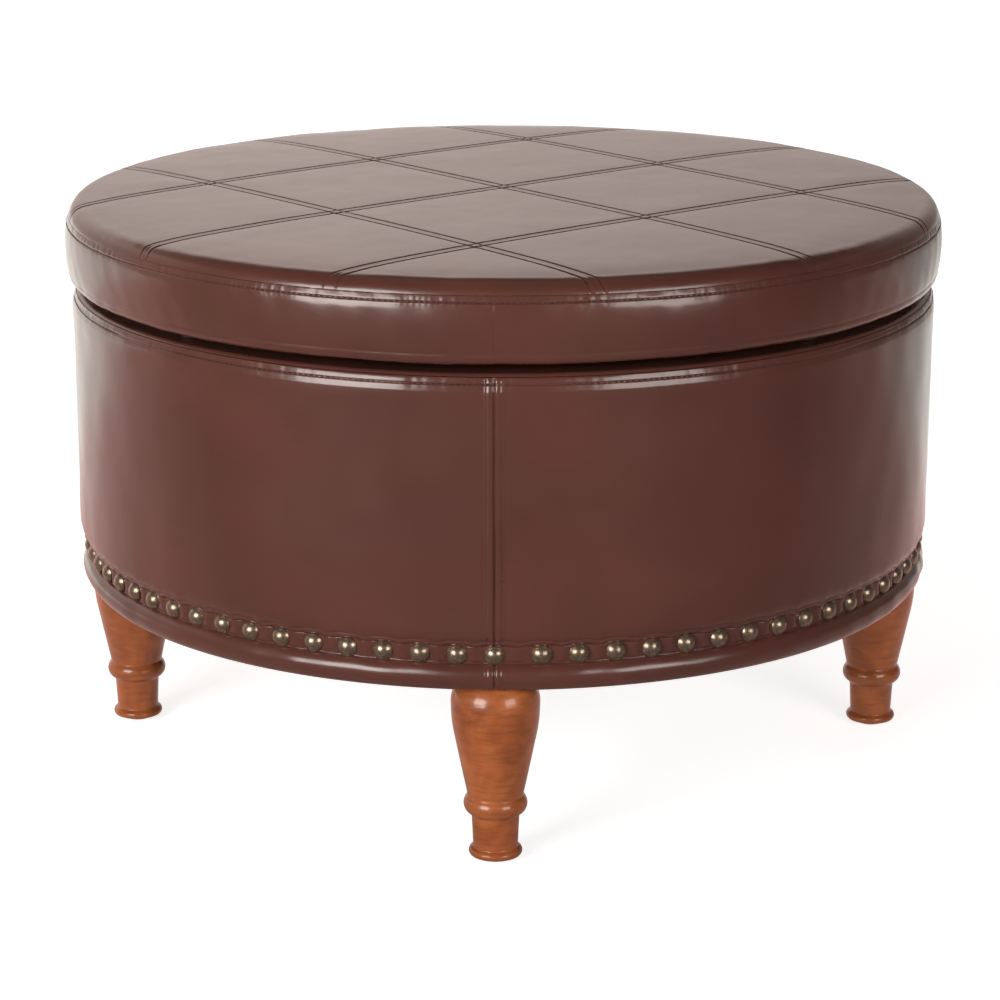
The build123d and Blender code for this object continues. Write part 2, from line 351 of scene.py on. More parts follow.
def mix(add, link, kind, fac, a, b):
    node = add("ShaderNodeMix", data_type="RGBA", blend_type=kind)
    for socket, value in ((node.inputs[0], fac), (node.inputs[6], a), (node.inputs[7], b)):
        if hasattr(value, "is_linked"):
            link(value, socket)
        elif isinstance(value, tuple):
            socket.default_value = (*value, 1)
        else:
            socket.default_value = value
    return node.outputs[2]


def relief(add, link, height, strength, distance, under=None):
    node = add("ShaderNodeBump", Strength=strength, Distance=distance)
    link(height, node.inputs["Height"])
    if under:
        link(under, node.inputs["Normal"])
    return node.outputs["Normal"]


def leather_material():
    mat, shader, add, link, place = new_material("leather_brown")
    cloud = noise(add, link, place, 7.0, 2.5, 0.5, distort=0.3)
    colour = ramp(add, link, cloud, [(0.30, (0.086, 0.029, 0.0225)), (0.5, (0.101, 0.034, 0.0262)),
                                     (0.68, (0.115, 0.038, 0.0285))])
    olive = ramp(add, link, noise(add, link, place, 10.0, 2.5, 0.5), [(0.5, grey(0)), (0.75, grey(1))])
    colour = mix(add, link, "MIX", olive, colour, (0.092, 0.036, 0.024))
    link(colour, shader.inputs["Base Color"])
    wear = noise(add, link, place, 24.0, 5.0, 0.65)
    link(ramp(add, link, wear, [(0.3, grey(0.225)), (0.75, grey(0.262))]), shader.inputs["Roughness"])
    grain = relief(add, link, noise(add, link, place, 800.0, 3.0, 0.6), 0.08, 0.0004)
    wave = relief(add, link, noise(add, link, place, 60.0, 3.0, 0.5), 0.08, 0.0012, grain)
    link(wave, shader.inputs["Normal"])
    shader.inputs["Specular IOR Level"].default_value = 0.5
    shader.inputs["Coat Weight"].default_value = 0.15
    shader.inputs["Coat Roughness"].default_value = 0.14
    return mat


def thread_material():
    mat, shader, add, link, place = new_material("thread_brown")
    twist = noise(add, link, place, 900.0, 2.0, 0.5)
    colour = ramp(add, link, twist, [(0.3, (0.016, 0.007, 0.006)), (0.7, (0.045, 0.019, 0.015))])
    link(colour, shader.inputs["Base Color"])
    shader.inputs["Roughness"].default_value = 0.6
    link(relief(add, link, twist, 0.4, 0.0003), shader.inputs["Normal"])
    return mat


def wood_material():
    mat, shader, add, link, place = new_material("stained_wood")
    broad = noise(add, link, place, 26.0, 3.0, 0.5, (1.0, 1.0, 0.7), 0.8)
    colour = ramp(add, link, broad, [(0.3, (0.29, 0.074, 0.021)), (0.5, (0.395, 0.11, 0.032)),
                                     (0.72, (0.51, 0.151, 0.043))])
    figure = noise(add, link, place, 60.0, 5.0, 0.6, (0.45, 0.45, 1.5), 0.9)
    streaks = ramp(add, link, figure, [(0.34, grey(0.66)), (0.6, grey(1.05))])
    colour = mix(add, link, "MULTIPLY", 0.6, colour, streaks)
    pores = noise(add, link, place, 420.0, 3.0, 0.6, (0.12, 0.12, 1.0))
    specks = ramp(add, link, pores, [(0.36, grey(0.5)), (0.5, grey(1.0))])
    colour = mix(add, link, "MULTIPLY", 0.35, colour, specks)
    link(colour, shader.inputs["Base Color"])
    link(ramp(add, link, broad, [(0.3, grey(0.30)), (0.7, grey(0.38))]), shader.inputs["Roughness"])
    link(relief(add, link, pores, 0.12, 0.0004), shader.inputs["Normal"])
    shader.inputs["Specular IOR Level"].default_value = 0.35
    shader.inputs["Coat Weight"].default_value = 0.5
    shader.inputs["Coat Roughness"].default_value = 0.12
    return mat


def bronze_material():
    mat, shader, add, link, place = new_material("antique_bronze")
    patina = noise(add, link, place, 330.0, 4.0, 0.65)
    colour = ramp(add, link, patina, [(0.3, (0.18, 0.13, 0.093)), (0.5, (0.28, 0.207, 0.15)),
                                      (0.72, (0.39, 0.30, 0.222))])
    link(colour, shader.inputs["Base Color"])
    link(ramp(add, link, patina, [(0.3, grey(0.34)), (0.7, grey(0.24))]), shader.inputs["Roughness"])
    shader.inputs["Metallic"].default_value = 0.8
    link(relief(add, link, noise(add, link, place, 420.0, 2.0, 0.5), 0.04, 0.0005), shader.inputs["Normal"])
    return mat


def metal_material():
    mat, shader, add, link, place = new_material("zinc_steel")
    spangle = noise(add, link, place, 240.0, 5.0, 0.6)
    brushed = noise(add, link, place, 900.0, 2.0, 0.5, (0.04, 1.0, 1.0))
    colour = ramp(add, link, spangle, [(0.3, (0.42, 0.41, 0.38)), (0.7, (0.62, 0.61, 0.57))])
    link(colour, shader.inputs["Base Color"])
    link(ramp(add, link, brushed, [(0.3, grey(0.26)), (0.7, grey(0.42))]), shader.inputs["Roughness"])
    shader.inputs["Metallic"].default_value = 1.0
    link(relief(add, link, brushed, 0.06, 0.0003), shader.inputs["Normal"])
    return mat


def cloth_material(name, dark, light, scale):
    mat, shader, add, link, place = new_material(name)
    threads = []
    for stretch in ((1.0, 0.03, 0.03), (0.03, 1.0, 0.03), (0.03, 0.03, 1.0)):
        threads.append(noise(add, link, place, scale, 2.0, 0.5, stretch))
    weave = mix(add, link, "MIX", 0.5, mix(add, link, "MIX", 0.5, threads[0], threads[1]), threads[2])
    slub = noise(add, link, place, 45.0, 4.0, 0.6)
    colour = mix(add, link, "MIX", slub, dark, light)
    gaps = ramp(add, link, weave, [(0.35, grey(0.6)), (0.65, grey(1.15))])
    colour = mix(add, link, "MULTIPLY", 0.8, colour, gaps)
    link(colour, shader.inputs["Base Color"])
    link(relief(add, link, weave, 0.35, 0.0006), shader.inputs["Normal"])
    shader.inputs["Roughness"].default_value = 0.85
    shader.inputs["Sheen Weight"].default_value = 0.15
    return mat


def board_material(name, dark, light):
    mat, shader, add, link, place = new_material(name)
    grain = noise(add, link, place, 60.0, 6.0, 0.65, (0.12, 1.0, 3.0), 0.4)
    link(ramp(add, link, grain, [(0.3, dark), (0.7, light)]), shader.inputs["Base Color"])
    shader.inputs["Roughness"].default_value = 0.7
    link(relief(add, link, grain, 0.15, 0.0006), shader.inputs["Normal"])
    return mat


def moulded_material(name, colour, rough=0.55):
    mat, shader, add, link, place = new_material(name)
    speckle = noise(add, link, place, 300.0, 3.0, 0.6)
    dark = tuple(c * 0.7 for c in colour)
    light = tuple(c * 1.3 for c in colour)
    link(mix(add, link, "MIX", speckle, dark, light), shader.inputs["Base Color"])
    shader.inputs["Roughness"].default_value = rough
    link(relief(add, link, speckle, 0.1, 0.0003), shader.inputs["Normal"])
    return mat


leather = leather_material()
thread = thread_material()
wood = wood_material()
bronze = bronze_material()
steel = metal_material()
lining = cloth_material("lining_cloth", (0.034, 0.027, 0.023), (0.064, 0.052, 0.045), 700.0)
dust_cloth = cloth_material("dust_cloth", (0.012, 0.012, 0.012), (0.028, 0.028, 0.028), 500.0)
foam = moulded_material("cushion_foam", (0.78, 0.70, 0.52))
plywood = board_material("plywood", (0.42, 0.29, 0.17), (0.66, 0.50, 0.32))
hardboard = board_material("hardboard", (0.20, 0.13, 0.08), (0.30, 0.20, 0.12))
plastic = moulded_material("glide_plastic", (0.045, 0.036, 0.032))
rubber = moulded_material("bumper_rubber", (0.010, 0.009, 0.008), 0.85)
by_slot = {"leather": leather, "stained_wood": wood, "nail_bronze": bronze, "steel": steel, "lining": lining,
           "dust_cloth": dust_cloth, "foam": foam, "plywood": plywood, "hardboard": hardboard,
           "glide_plastic": plastic, "bumper_rubber": rubber}
for entry in frame["record"]["subparts"]:
    node = frame["nodes"][entry["node"]]
    node.data.materials.clear()
    node.data.materials.append(by_slot[entry["material_slot"]])


def dress(obj, body, slot, *nodes):
    """Fixes a piece to its body and hides the solids that it stands in for; the material slot is not used."""
    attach(obj, body)
    if nodes:
        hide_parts(*nodes)
    return obj


# Side cover: straight wall, sewn top edge, seams front and back, nail groove and bottom roll

def near_turn(angle, place):
    """Signed angle from a place on the circle."""
    return (angle - place + math.pi) % (2 * math.pi) - math.pi


def nail_rhythm(angle):
    """0 at a nail and 1 halfway between two nails."""
    away = np.sort(np.abs(near_turn(angle[:, None], nail_angles[None, :])), axis=1)
    return 2 * away[:, 0] / (away[:, 0] + away[:, 1])


def side_outline():
    """Outline from the sewn top edge to the turned-in bottom, and the groove's distance along it."""
    line = [(391.6, 434.2), (393.4, 434.0), BODY_SEAM]
    line += arc_points(BODY_SEAM, (396.65, 428.8), (398.1, 422.5), 12)
    line += arc_points((398.1, 422.5), (398.2, 418), (397.9, 410), 5)
    line += [(WALL_R, 390), (WALL_R, 217)]
    line += arc_points((WALL_R, 217), (395.9, 209.3), (391.6, 204.0), 10)
    line += [(389.4, 202.6), (GROOVE_R, 195)]
    groove = path_length(line)
    line += [(389.4, 187.4)] + arc_points((389.4, 187.4), (397.0, 175.0), (390.5, 164), 16)
    line += [(378, 164), (367, 164.2)]
    return line, groove


def wall_lift(angle, height):
    """Slow bulges of the stuffed wall between the top seam and the nails."""
    on_wall = smooth(436.5, 432, height) * smooth(205, 214, height)
    around = angle * WALL_MIDDLE_R
    return (0.55 * field(around, height * 1.3, 3, 190.0) + 0.16 * field(around, height, 4, 46.0)) * on_wall


def top_edge_lift(angle, height):
    """Puckers along the top seam and the valley of its topstitched row."""
    puckers = 0.08 * ring_noise(angle, 5, 190, 310) + 0.11 * ring_noise(angle, 6, 50, 130)
    return puckers * bump(height, 431.0, 7.0) - 0.5 * bump(height, SIDE_ROW[1], 0.7)


def upright_seam_lift(angle, height, place):
    """Raised allowance of an upright seam, its valley, two topstitched rows, ripples and gathers."""
    off = near_turn(angle, place) * WALL_MIDDLE_R
    sewn = smooth(434.5, 431.5, height) * smooth(162, 168, height)
    lift = 0.75 * smooth(8.6, SEAM_ROW, np.abs(off)) * sewn
    lift -= 1.9 * bump(off, 0, 0.9) * sewn
    lift -= 0.65 * bump(np.abs(off), SEAM_ROW, 0.8) * sewn
    ripple = np.cos(2 * np.pi * height / 11.0 + 2.2 * np.sin(height / 17.0)) * 0.16
    lift += 0.5 * ripple * bump(np.abs(off), 8.5, 5.0) * sewn
    gather = np.cos(2 * np.pi * off / 4.4 + 1.7 * np.sin(off / 3.1)) * bump(off, 1.0, 18.0)
    return lift + 0.10 * gather * (bump(height, 428.0, 5.5) + 0.7 * bump(height, 181.0, 4.0))


def nail_row_lift(angles, height):
    """Edge of the wall drawn in at each nail, a fold below it and leather rising between the nails."""
    between = smooth(0.45, 1.0, nail_rhythm(angles))[:, None]
    waver = ring_noise(angles, 8, 70, 170)[:, None]
    lift = bump(height, 209.0, 5.0) * (0.25 * between - 0.3 * (1 - between) + 0.1 * waver)
    fold = 205.2 + 1.4 * (1 - between) + 0.15 * waver
    lift -= 0.95 * bump(height, fold + 1.2, 0.75)
    lift += 0.55 * smooth(fold + 0.6, fold - 0.8, height) * smooth(189.0, 200.0, height)
    groove = smooth(206.5, 201.5, height) * smooth(186.8, 190.5, height)
    return lift + groove * (1.9 * between + 0.3 * waver) - 0.5 * bump(height, 187.6, 0.9)


def bottom_roll_lift(angle, height):
    """Waves of the padded roll under the nails."""
    on_roll = smooth(188.5, 181, height) * smooth(163.5, 169, height)
    lumps = field(angle * WALL_MIDDLE_R, height * 1.2, 10, 45.0)
    return on_roll * (0.24 * ring_noise(angle, 9, 10, 70) + 0.20 * lumps - 0.4)


side_seams = (FRONT, FRONT + math.pi)
fine_turns = [(FRONT + turn * math.pi, 24 / WALL_MIDDLE_R, 0.6 / WALL_MIDDLE_R) for turn in (0, 1, 2)]
side_angles = graded((FRONT, FRONT + 2 * math.pi), 1.7 / WALL_MIDDLE_R, fine_turns)[:-1]
side_line, groove_at = side_outline()
side_length = path_length(side_line)
fine_steps = [(6.0, 14, 0.6), (groove_at - 11, 8, 0.5), (groove_at + 12, 26, 0.9)]
side_steps = graded((0, side_length), 9.0, fine_steps)
line_r, line_z, out_r, out_z = resample(side_line, side_steps)
angle, distance = np.meshgrid(side_angles, side_steps, indexing="ij")
height = np.broadcast_to(line_z, angle.shape)
lift = wall_lift(angle, height)
lift += top_edge_lift(angle, height) * (distance < side_length * 0.5)
lift -= 1.0 * bump(distance, 3.2, 0.7)
for place in side_seams:
    lift += upright_seam_lift(angle, height, place)
lower = distance > side_length * 0.4
lift += lower * (nail_row_lift(side_angles, height) + bottom_roll_lift(angle, height))
side = lathe("side_cover", side_angles, line_r + lift * out_r, line_z + lift * out_z, leather)
dress(side, "base", "leather", "side_cover_left", "side_cover_right", "side_foam", "edge_roll")

runs = stitch_ring(int(2 * math.pi * WALL_MIDDLE_R / STITCH), *SIDE_ROW)
for place in side_seams:
    for shift in (-SEAM_ROW, SEAM_ROW):
        a = place + shift / WALL_MIDDLE_R
        out = np.array((math.cos(a), math.sin(a), 0))
        for k in range(int((SEAM_ROW_HIGH - SEAM_ROW_LOW) / STITCH)):
            z = SEAM_ROW_HIGH - (k + 0.5) * STITCH
            runs.append((out * (WALL_R - SEAM_ROW_SINK) + UP * z, UP, out))
dress(stitches("side_stitching", runs, thread), "base", "leather")

# Rim of the well, from the flap inside over the level top to the body seam
rim_angles = np.linspace(0, 2 * math.pi, 480, endpoint=False)
rim_line = [(357.2, 424.2), (356.5, 424.6), (356.4, 430)]
rim_line += arc_points((356.4, 434), (357.3, 436.2), (359.5, 437.1), 6)
rim_line += [(RIM_MIDDLE_R, RIM_Z), (389.5, RIM_Z)]
rim_line += arc_points((389.5, RIM_Z), (392.6, 436.3), (394.3, 434.4), 8)
rim_steps = np.linspace(0, path_length(rim_line), 46)
line_r, line_z, out_r, out_z = resample(rim_line, rim_steps)
angle, distance = np.meshgrid(rim_angles, rim_steps, indexing="ij")
ease = np.minimum(0.14 * field(angle * RIM_MIDDLE_R, distance, 12, 30.0) - 0.16, 0)
rim = lathe("rim_leather", rim_angles, line_r + ease * out_r, line_z + ease * out_z, leather)
dress(rim, "base", "leather", "rim_cover", "rim_pad")

# Nails: domes with a turned-in edge, as radius and height over the groove
nail_line = [(0.01, 6.3)] + arc_points((0.01, 6.3), (6.1, 4.1), (8.6, 1.3), 9)
nail_line += [(8.85, 0.85), (8.7, 0.4), (7.6, 0.1)]
verts = []
faces = []
for a in nail_angles:
    base = len(verts)
    out = np.array((math.cos(a), math.sin(a), 0))
    east = np.array((-math.sin(a), math.cos(a), 0))
    for r, h in nail_line:
        for k in range(NAIL_SIDES):
            turn = 2 * math.pi * k / NAIL_SIDES
            point = out * (GROOVE_R + h) + east * r * math.cos(turn) + UP * (NAIL_Z + r * math.sin(turn))
            verts.append(tuple(point * MM))
    for m in range(len(nail_line) - 1):
        for k in range(NAIL_SIDES):
            p = base + m * NAIL_SIDES + k
            q = base + m * NAIL_SIDES + (k + 1) % NAIL_SIDES
            faces.append((p, p + NAIL_SIDES, q + NAIL_SIDES, q))
    faces.append(tuple(base + k for k in range(NAIL_SIDES)))
nails = mesh_object("nail_domes", verts, faces, bronze)
dress(nails, "base", "nail_bronze", "nail_heads")

# Turned legs: foot, neck, ring, flaring shaft and shoulder
leg_line = [(0.01, 3.0), (19.6, 3.0)] + arc_points((20.6, 3.2), (23.1, 7), (20.2, 10.8), 8)
leg_line += [(19.4, 11.6), (19.3, 13.0), (19.9, 26), (20.6, 39.8), (21.2, 41.4), (23.0, 42.2)]
leg_line += arc_points((23.0, 42.2), (27.5, 50), (24.6, 57.4), 10) + [(24.0, 58.4), (24.5, 60.5)]
leg_line += [(30.0, 87), (35.8, 115.7)] + arc_points((35.8, 115.7), (37.5, 128), (38, 139), 6)
leg_line += arc_points((38, 139), (36.2, 153), (29.5, 163), 9) + [(0.01, 163)]
leg_turns = np.linspace(0, 2 * math.pi, LEG_SIDES, endpoint=False)
leg_steps = np.unique(np.concatenate([distances(leg_line), np.linspace(0, path_length(leg_line), 90)]))
line_r, line_z = points_along(leg_line, leg_steps)
leg_r = np.tile(line_r, (LEG_SIDES, 1))
leg_z = np.tile(line_z, (LEG_SIDES, 1))
for name, degrees in (("front", -90), ("right", 0), ("back", 90), ("left", 180)):
    turn = math.radians(degrees)
    leg = lathe("turned_leg_" + name, leg_turns + turn, leg_r, leg_z, wood, flip=True)
    spot = Vector((math.cos(turn), math.sin(turn), 0)) * LEG_RING_R * MM
    leg.data.transform(Matrix.Translation(spot))
    dress(leg, "base", "stained_wood", "leg_" + name)

# Lid top: quilted middle with swollen squares, and a rolled edge down to the seam
directions = (math.radians(45 + QUILT_TURN), math.radians(QUILT_TURN - 45))


def quilt_axes(x, y):
    """Distances across each of the two seam families from their middle seams."""
    return [-x * math.sin(d) + y * math.cos(d) for d in directions]


def crown_points():
    """Radius and height from the level middle over arcs to the seam, each leaving as the last ends."""
    line = [(0.0, TOP_Z), CROWN[0]]
    slope = 0.0
    for start, end in zip(CROWN, CROWN[1:]):
        fall = math.atan2(start[1] - end[1], end[0] - start[0])
        rise = math.dist(start, end) / 2 * math.tan((fall - slope) / 2)
        middle = ((start[0] + end[0]) / 2, (start[1] + end[1]) / 2)
        via = (middle[0] + rise * math.sin(fall), middle[1] + rise * math.cos(fall))
        line += arc_points(start, via, end, 30)
        slope = 2 * fall - slope
    return np.array(line)


crown_line = crown_points()


def crown_height(r):
    return np.interp(r, crown_line[:, 0], crown_line[:, 1])


def edge_spacing():
    """Share of the rolled edge's length, and radius, from where it leaves the quilted middle to the seam."""
    line = crown_line[crown_line[:, 0] >= EDGE_R]
    line = np.vstack([[EDGE_R, crown_height(EDGE_R)], line])
    length = distances(line)
    return length / length[-1], line[:, 0]


def quilt_place(u, v):
    """Place on the lid from the distances across the two seam families."""
    d0, d1 = directions
    det = math.sin(d1 - d0)
    return (u * math.cos(d1) - v * math.cos(d0)) / det, (u * math.sin(d1) - v * math.sin(d0)) / det


def simulate_swell():
    """Rise of the stuffed squares between their seams, from a cloth simulation under pressure."""
    marks = np.arange(-SWELL_HALF, SWELL_HALF + 1) * SWELL_STEP
    u, v = np.meshgrid(marks, marks, indexing="ij")
    x, y = quilt_place(u, v)
    r = np.hypot(x, y)
    index = np.arange(r.size).reshape(r.shape)
    quads = np.stack([index[:-1, :-1], index[:-1, 1:], index[1:, 1:], index[1:, :-1]], axis=-1).reshape(-1, 4)
    start = np.stack([x, y, crown_height(r)], axis=-1).reshape(-1, 3)
    pillow = mesh_object("pillow", (start * MM).tolist(), quads.tolist(), leather)
    held = r > SWELL_EDGE
    for row in QUILT_ROWS:
        held |= np.minimum(np.abs(u - row * QUILT_PITCH), np.abs(v - row * QUILT_PITCH)) < 0.1 * SWELL_STEP
    pins = pillow.vertex_groups.new(name="sewn")
    pins.add(np.flatnonzero(held).tolist(), 1.0, "REPLACE")
    cloth = pillow.modifiers.new("stuffing", "CLOTH")
    cloth.settings.quality = 6
    cloth.settings.vertex_group_mass = pins.name
    cloth.settings.use_pressure = True
    cloth.settings.uniform_pressure_force = SWELL_PRESSURE
    cloth.settings.effector_weights.gravity = 0.0
    cloth.collision_settings.use_collision = False
    for step in range(1, SWELL_FRAMES + 1):
        bpy.context.scene.frame_set(step)
    swollen = pillow.evaluated_get(bpy.context.evaluated_depsgraph_get())
    after = np.empty(r.size * 3)
    swollen.data.vertices.foreach_get("co", after)
    rise = (after.reshape(-1, 3) / MM - start)[:, 2].reshape(r.shape)
    bpy.data.objects.remove(pillow)
    bpy.context.scene.frame_set(1)
    return SWELL_CAP * (1 - np.exp(-np.maximum(rise, 0) / SWELL_CAP))


def cubic_weights(t):
    """Weights of four points in a row, at a share t of the way from the second to the third."""
    return ((-t + 2 * t ** 2 - t ** 3) / 2, (2 - 5 * t ** 2 + 3 * t ** 3) / 2,
            (t + 4 * t ** 2 - 3 * t ** 3) / 2, (t ** 3 - t ** 2) / 2)


def swell(u, v):
    """Simulated rise at a place, read smoothly between the points of the simulation."""
    i = u / SWELL_STEP + SWELL_HALF
    j = v / SWELL_STEP + SWELL_HALF
    low_i = np.floor(i).astype(int)
    low_j = np.floor(j).astype(int)
    total = np.zeros_like(u)
    for m, weight_i in enumerate(cubic_weights(i - low_i)):
        for n, weight_j in enumerate(cubic_weights(j - low_j)):
            total += weight_i * weight_j * swell_table[low_i + m - 1, low_j + n - 1]
    return total


swell_table = simulate_swell()


def seam_profile(s, along, seed):
    """Height across a double-topstitched seam."""
    s = np.abs(s)
    ripple = np.cos(2 * np.pi * along / 13.0 + 1.5 * np.sin(along / 23.0 + seed))
    h = 0.25 * smooth(ROW_OFFSET + 1.6, ROW_OFFSET - 1.4, s)
    h -= 0.14 * bump(s, 0, 0.75)
    h -= 1.1 * bump(s, ROW_OFFSET, 0.85)
    h += 0.08 * ripple * bump(s, ROW_OFFSET + 2.5, 3.0)
    return h


def lid_top_height(x, y):
    """Crown with swollen squares, small waves in the leather, puckers at the rolled edge and the seams."""
    r = np.hypot(x, y)
    u, v = quilt_axes(x, y)
    gap = np.full_like(r, QUILT_PITCH)
    for across in (u, v):
        for row in QUILT_ROWS:
            gap = np.minimum(gap, np.abs(across - row * QUILT_PITCH))
    h = crown_height(r) - 0.5 * np.exp(-gap / 16.0) + swell(u, v)
    h = h + 0.05 * ring_noise(np.arctan2(y, x), 23, 60, 190) * smooth(386, 395, r) * smooth(400, 397, r)
    h = h + 0.22 * field(x, y, 21, 120.0) * smooth(0, 30, gap)
    h = h + 0.07 * field(x, y, 22, 34.0) * smooth(0, 20, gap)
    for number, (across, other) in enumerate(((u, v), (v, u))):
        for row in QUILT_ROWS:
            h = h + seam_profile(across - row * QUILT_PITCH, other, number * 3 + row)
    return h


def quilted_middle(bm):
    """Flat grid along both seam families, fine along the seams and cut to a circle."""
    marks = graded((-GRID_HALF, GRID_HALF), 5.5, [(row * QUILT_PITCH, 7.5, 0.65) for row in QUILT_ROWS])
    u, v = np.meshgrid(marks, marks, indexing="ij")
    x, y = quilt_place(u, v)
    keep = np.hypot(x, y) < GRID_HALF - 2
    index = np.arange(x.size).reshape(x.shape)
    cells = keep[:-1, :-1] & keep[1:, :-1] & keep[1:, 1:] & keep[:-1, 1:]
    quads = np.stack([index[:-1, :-1], index[:-1, 1:], index[1:, 1:], index[1:, :-1]], axis=-1)[cells]
    used = np.unique(quads)
    renumber = np.full(x.size, -1)
    renumber[used] = np.arange(used.size)
    verts = [bm.verts.new((x.flat[k], y.flat[k], 0)) for k in used]
    for quad in renumber[quads]:
        bm.faces.new([verts[k] for k in quad])
    for k in range(EDGE_SIDES):
        turn = 2 * math.pi * (k + 0.5) / EDGE_SIDES
        normal = Vector((math.cos(turn), math.sin(turn), 0))
        near = [f for f in bm.faces if f.calc_center_median().dot(normal) > EDGE_R - 15]
        corners = list(dict.fromkeys(v for f in near for v in f.verts))
        sides = list(dict.fromkeys(e for f in near for e in f.edges))
        bmesh.ops.bisect_plane(bm, geom=corners + sides + near, dist=1e-4, plane_co=normal * EDGE_R,
                               plane_no=normal, clear_outer=True)


def rolled_edge(bm):
    """Flat rings from the quilted middle to the seam, with finer angles where the quilting runs out."""
    crossings = []
    for d in directions:
        for row in QUILT_ROWS:
            swing = math.asin(row * QUILT_PITCH / EDGE_MIDDLE_R)
            crossings += [(d + swing) % (2 * math.pi), (d + math.pi - swing) % (2 * math.pi)]
    fine = [(turn, 13 / EDGE_MIDDLE_R, 0.7 / EDGE_MIDDLE_R) for turn in crossings]
    angles = graded((0, 2 * math.pi), 1.9 / EDGE_MIDDLE_R, fine)[:-1]
    rings = []
    for r in np.interp(np.linspace(0, 1, EDGE_RINGS), *edge_spacing()):
        rings.append([bm.verts.new((r * math.cos(a), r * math.sin(a), 0)) for a in angles])
    for inner, outer in zip(rings, rings[1:]):
        for k in range(len(angles)):
            bm.faces.new((inner[k - 1], outer[k - 1], outer[k], inner[k]))


bm = bmesh.new()
quilted_middle(bm)
rolled_edge(bm)
mesh = bpy.data.meshes.new("lid_top")
bm.to_mesh(mesh)
bm.free()
place = np.empty(len(mesh.vertices) * 3)
mesh.vertices.foreach_get("co", place)
place = place.reshape(-1, 3)
place[:, 2] = lid_top_height(place[:, 0], place[:, 1])
mesh.vertices.foreach_set("co", (place * MM).ravel())
mesh.polygons.foreach_set("use_smooth", [True] * len(mesh.polygons))
mesh.materials.append(leather)
mesh.update()
lid_top = bpy.data.objects.new("lid_top", mesh)
bpy.context.scene.collection.objects.link(lid_top)
dress(lid_top, "lid", "leather", "lid_top_cover", "lid_foam")

runs = []
reach = int(QUILT_STITCH_R / STITCH) + 1
for number, d in enumerate(directions):
    along = np.array((math.cos(d), math.sin(d), 0))
    across = np.array((-math.sin(d), math.cos(d), 0))
    for row in QUILT_ROWS:
        for shift in (-ROW_OFFSET, ROW_OFFSET):
            start = across * (row * QUILT_PITCH + shift)
            for k in range(-reach, reach + 1):
                point = start + along * (k + 0.5 * (number == 0)) * STITCH
                if math.hypot(point[0], point[1]) > QUILT_STITCH_R:
                    continue
                ahead = point + along
                h0 = float(lid_top_height(np.array([point[0]]), np.array([point[1]]))[0])
                h1 = float(lid_top_height(np.array([ahead[0]]), np.array([ahead[1]]))[0])
                slope = np.array((along[0], along[1], h1 - h0))
                slope /= np.linalg.norm(slope)
                normal = np.cross(slope, across)
                normal *= np.sign(normal[2])
                runs.append(((point[0], point[1], h0 + QUILT_STITCH_LIFT), slope, normal))
dress(stitches("lid_quilting", runs, thread), "lid", "leather")

# Lid boxing: seam, topstitch, bulge, crease and the roll under the lid
box_angles = np.linspace(FRONT, FRONT + 2 * math.pi, 2800, endpoint=False)
box_line = [(398.3, 502.6), LID_SEAM] + arc_points(LID_SEAM, (401.3, 497.9), (402.7, 491.5), 10)
box_line += arc_points((402.7, 491.5), (403.2, 476), (400.6, 454), 14)
crease_at = path_length(box_line)
box_line += arc_points((400.6, 454), (397.7, 446.9), (390.5, 444.2), 14) + [(378, 444.2), (366.5, 444.4)]
box_length = path_length(box_line)
box_steps = graded((0, box_length), 4.0, [(1.5, 9, 0.6), (crease_at, 8, 0.7)])
box_stitches = int(2 * math.pi * BOX_ROW_R / STITCH)
line_r, line_z, out_r, out_z = resample(box_line, box_steps)
angle, distance = np.meshgrid(box_angles, box_steps, indexing="ij")
around = angle * BOX_R
before_end = smooth(box_length - 12, box_length - 30, distance)
lift = 0.45 * field(around, distance * 2.0, 31, 150.0) * smooth(4, 16, distance) * before_end
lift += 0.14 * field(around, distance, 32, 30.0) * smooth(2, 10, distance) * before_end
puckers = 0.07 * ring_noise(angle, 33, 180, 300) + 0.10 * ring_noise(angle, 36, 50, 130)
lift += puckers * bump(distance, 5, 5)
lift -= 0.7 * bump(distance, 1.0, 0.6)
lift -= 0.5 * bump(distance, BOX_ROW, 0.7)
gather = np.cos(box_stitches * angle) * (0.5 + 0.5 * ring_noise(angle, 37, 5, 60))
lift += 0.045 * gather * smooth(1.6, 3.5, distance) * smooth(14.0, 9.0, distance)
lift -= 0.22 * bump(distance, crease_at + 0.5 * ring_noise(angle, 34, 3, 20), 1.5)
lift += 0.2 * bump(distance, crease_at + 6, 4) * (1 + 0.7 * ring_noise(angle, 35, 6, 40))
lift = lift * smooth(box_length, box_length - 14, distance)
boxing = lathe("lid_boxing_band", box_angles, line_r + lift * out_r, line_z + lift * out_z, leather)
dress(boxing, "lid", "leather", "lid_boxing")

row_r = np.interp(BOX_ROW, box_steps, line_r) - BOX_ROW_SINK
row_z = np.interp(BOX_ROW, box_steps, line_z)
dress(stitches("boxing_stitching", stitch_ring(box_stitches, row_r, row_z), thread), "lid", "leather")

# Linings and dust cover, drawn cloth with a little slack

def cloth_disc(name, edge, material, seed, sag, down):
    """Level round sheet, fixed at its edge, whose seen side faces up or down."""
    radius, z = edge
    rings = np.concatenate([[0.02], np.linspace(6, radius - 6, 60), np.linspace(radius - 4.5, radius, 5)])
    turns = np.linspace(0, 2 * math.pi, 240, endpoint=False)
    angle, r = np.meshgrid(turns, rings, indexing="ij")
    x = r * np.cos(angle)
    y = r * np.sin(angle)
    slack = np.clip(field(x, y, seed, 130.0) * 0.5 + field(x, y, seed + 1, 40.0) * 0.2, -1, 1)
    return lathe(name, turns, r, z + slack * sag * smooth(radius, radius - 60, r), material, flip=down)


